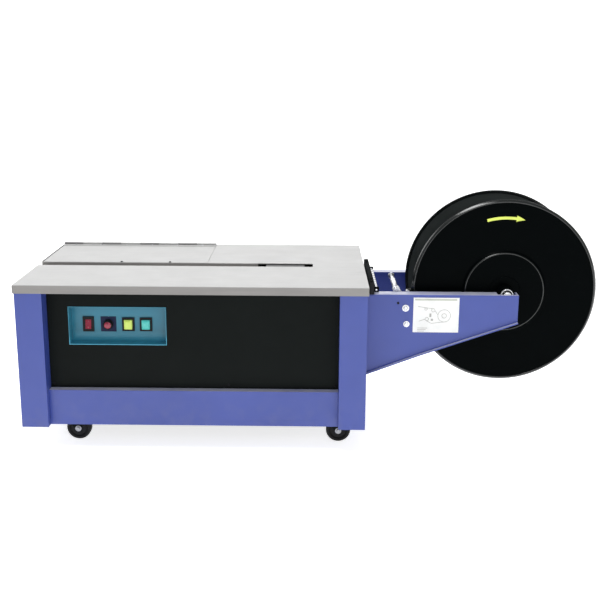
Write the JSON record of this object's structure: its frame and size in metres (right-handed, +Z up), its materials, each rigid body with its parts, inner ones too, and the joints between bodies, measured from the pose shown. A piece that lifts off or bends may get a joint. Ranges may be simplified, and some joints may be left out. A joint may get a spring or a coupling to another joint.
{
  "type": "semi automatic strapping machine",
  "caption": "Wheeled cabinet with a steel worktable, recessed control tray, strap slot over a sealing head, and a large strap reel carried on two arms at one end.",
  "frame": {"origin": "on the floor, at the middle of the machine's overall length and depth", "axes": "+X along the table towards the reel, +Y from the operator's side to the back, +Z up"},
  "size_m": [1.506, 0.565, 0.6455],
  "materials": {
    "blue_paint": "satin blue powder coat",
    "black_paint": "semi-gloss black enamel",
    "table_steel": "fine brushed stainless sheet",
    "zinc": "bright zinc plate",
    "machined_steel": "machined, lightly oiled",
    "teal_paint": "smooth teal enamel",
    "black_plastic": "glossy moulded plastic",
    "matte_black": "fine moulded texture",
    "red_plastic": "glossy",
    "yellow_plastic": "glossy",
    "green_plastic": "glossy",
    "motor_paint": "grey machinery enamel",
    "cast_grey": "as cast, painted",
    "rubber": "matte",
    "wheel_rubber": "smooth tread, satin"
  },
  "bodies": {
    "frame": {"corner_post_front_left": "blue_paint", "corner_post_front_right": "blue_paint", "corner_posts_rear": "blue_paint", "front_lower_rail": "blue_paint", "rear_lower_rail": "blue_paint", "side_lower_rails": "blue_paint", "base_plate": "black_paint", "front_panel": "black_paint", "rear_panel": "black_paint", "cable_gland": "matte_black", "left_side_panel": "black_paint", "right_side_panel": "blue_paint", "control_tray": "teal_paint", "control_bezels": "matte_black", "table_plate": "table_steel", "lid_hinge": "table_steel", "strap_guide_channel": "table_steel", "front_reel_arm": "blue_paint", "rear_reel_arm": "blue_paint", "arm_bolts": "zinc", "reel_axle": "zinc", "strap_inlet_guide": "black_paint", "brake_spring": "machined_steel", "head_frame": "cast_grey", "gear_reducer": "cast_grey", "drive_motor": "motor_paint", "drive_belt": "rubber", "feed_bracket": "machined_steel", "electrical_box": "motor_paint", "caster_plates": "zinc"},
    "lid": {"table_lid": "table_steel"},
    "rocker": {"power_rocker": "red_plastic"},
    "length_knob": {"feed_length_knob": "matte_black"},
    "feed_key": {"feed_button": "yellow_plastic"},
    "reset_key": {"reset_button": "green_plastic"},
    "reel": {"reel_core": "black_plastic", "reel_front_flange": "black_plastic", "reel_rear_flange": "black_plastic"},
    "inlet_roll": {"inlet_roller": "zinc"},
    "brake": {"brake_lever": "zinc", "brake_pad": "rubber"},
    "left_grip": {"left_gripper": "machined_steel"},
    "right_grip": {"right_gripper": "machined_steel"},
    "press": {"press_head": "machined_steel"},
    "anvil": {"slide_plate": "machined_steel"},
    "heater": {"heater_arm": "machined_steel"},
    "cams": {"camshaft": "machined_steel"},
    "large_pulley": {"reducer_pulley": "machined_steel"},
    "small_pulley": {"motor_pulley": "machined_steel"},
    "feed_roll": {"feed_roller": "machined_steel"},
    "pressure_roll": {"pressure_roller": "rubber"},
    "fork_front_left": {"caster_fork_front_left": "black_paint"},
    "wheel_front_left": {"caster_wheel_front_left": "wheel_rubber"},
    "fork_front_right": {"caster_fork_front_right": "black_paint"},
    "wheel_front_right": {"caster_wheel_front_right": "wheel_rubber"},
    "fork_rear_left": {"caster_fork_rear_left": "black_paint"},
    "wheel_rear_left": {"caster_wheel_rear_left": "wheel_rubber"},
    "fork_rear_right": {"caster_fork_rear_right": "black_paint"},
    "wheel_rear_right": {"caster_wheel_rear_right": "wheel_rubber"}
  },
  "joints": [
    {"name": "lid_hinge", "type": "hinge", "parent": "frame", "child": "lid", "pos_m": [-0.5225, 0.265, 0.449], "axis": [-1, 0, 0], "range_deg": [0, 95]},
    {"name": "rocker_tilt", "type": "hinge", "parent": "frame", "child": "rocker", "pos_m": [-0.582, -0.2045, 0.3245], "axis": [1, 0, 0], "range_deg": [0, 20]},
    {"name": "length_knob_turn", "type": "hinge", "parent": "frame", "child": "length_knob", "pos_m": [-0.53, -0.2025, 0.3245], "axis": [0, 1, 0], "range_deg": [0, 270]},
    {"name": "feed_key_press", "type": "slide", "parent": "frame", "child": "feed_key", "axis": [0, 1, 0], "range_m": [0, 0.003], "stiffness_N_per_m": 400, "springref_m": -0.002},
    {"name": "reset_key_press", "type": "slide", "parent": "frame", "child": "reset_key", "axis": [0, 1, 0], "range_m": [0, 0.003], "stiffness_N_per_m": 400, "springref_m": -0.002},
    {"name": "reel_spin", "type": "hinge", "parent": "frame", "child": "reel", "pos_m": [0.508, -0.026, 0.4005], "axis": [0, 1, 0], "continuous": true},
    {"name": "inlet_roll_spin", "type": "hinge", "parent": "frame", "child": "inlet_roll", "pos_m": [0.168, -0.024, 0.4095], "axis": [0, 1, 0], "continuous": true},
    {"name": "brake_release", "type": "hinge", "parent": "frame", "child": "brake", "pos_m": [0.244, -0.138, 0.367], "axis": [0, -1, 0], "range_deg": [0, 12], "stiffness_Nm_per_rad": 4, "springref_deg": -20.05},
    {"name": "left_grip_lift", "type": "slide", "parent": "frame", "child": "left_grip", "axis": [0, 0, 1], "range_m": [0, 0.011]},
    {"name": "right_grip_lift", "type": "slide", "parent": "frame", "child": "right_grip", "axis": [0, 0, 1], "range_m": [0, 0.011]},
    {"name": "press_lift", "type": "slide", "parent": "frame", "child": "press", "axis": [0, 0, 1], "range_m": [0, 0.01]},
    {"name": "anvil_retract", "type": "slide", "parent": "frame", "child": "anvil", "axis": [0, 1, 0], "range_m": [0, 0.025]},
    {"name": "heater_swing", "type": "hinge", "parent": "frame", "child": "heater", "pos_m": [-0.075, 0.0195, 0.43], "axis": [0, 0, 1], "range_deg": [0, 90]},
    {"name": "reducer_pulley_spin", "type": "hinge", "parent": "frame", "child": "large_pulley", "pos_m": [-0.29, -0.015, 0.295], "axis": [1, 0, 0], "continuous": true},
    {"name": "motor_pulley_spin", "type": "hinge", "parent": "frame", "child": "small_pulley", "pos_m": [-0.29, 0.12, 0.175], "axis": [1, 0, 0], "continuous": true},
    {"name": "camshaft_spin", "type": "hinge", "parent": "frame", "child": "cams", "pos_m": [-0.075, -0.015, 0.295], "axis": [1, 0, 0], "continuous": true},
    {"name": "feed_roll_spin", "type": "hinge", "parent": "frame", "child": "feed_roll", "pos_m": [0.07, -0.015, 0.33], "axis": [0, 1, 0], "continuous": true},
    {"name": "pressure_roll_spin", "type": "hinge", "parent": "frame", "child": "pressure_roll", "pos_m": [0.03281, -0.015, 0.36719], "axis": [0, 1, 0], "continuous": true},
    {"name": "swivel_front_left", "type": "hinge", "parent": "frame", "child": "fork_front_left", "pos_m": [-0.6535, -0.1825, 0.08], "axis": [0, 0, 1], "continuous": true},
    {"name": "wheel_spin_front_left", "type": "hinge", "parent": "fork_front_left", "child": "wheel_front_left", "pos_m": [-0.624, -0.1825, 0.0325], "axis": [0, 1, 0], "continuous": true},
    {"name": "swivel_front_right", "type": "hinge", "parent": "frame", "child": "fork_front_right", "pos_m": [0.0425, -0.1825, 0.08], "axis": [0, 0, 1], "continuous": true},
    {"name": "wheel_spin_front_right", "type": "hinge", "parent": "fork_front_right", "child": "wheel_front_right", "pos_m": [0.072, -0.1825, 0.0325], "axis": [0, 1, 0], "continuous": true},
    {"name": "swivel_rear_left", "type": "hinge", "parent": "frame", "child": "fork_rear_left", "pos_m": [-0.6535, 0.1825, 0.08], "axis": [0, 0, 1], "continuous": true},
    {"name": "wheel_spin_rear_left", "type": "hinge", "parent": "fork_rear_left", "child": "wheel_rear_left", "pos_m": [-0.624, 0.1825, 0.0325], "axis": [0, 1, 0], "continuous": true},
    {"name": "swivel_rear_right", "type": "hinge", "parent": "frame", "child": "fork_rear_right", "pos_m": [0.0425, 0.1825, 0.08], "axis": [0, 0, 1], "continuous": true},
    {"name": "wheel_spin_rear_right", "type": "hinge", "parent": "fork_rear_right", "child": "wheel_rear_right", "pos_m": [0.072, 0.1825, 0.0325], "axis": [0, 1, 0], "continuous": true}
  ],
  "couplings": [
    {"joint": "motor_pulley_spin", "follows": "reducer_pulley_spin", "ratio": 1.8626},
    {"joint": "camshaft_spin", "follows": "reducer_pulley_spin", "ratio": 0.03333},
    {"joint": "pressure_roll_spin", "follows": "feed_roll_spin", "ratio": -1.6}
  ]
}
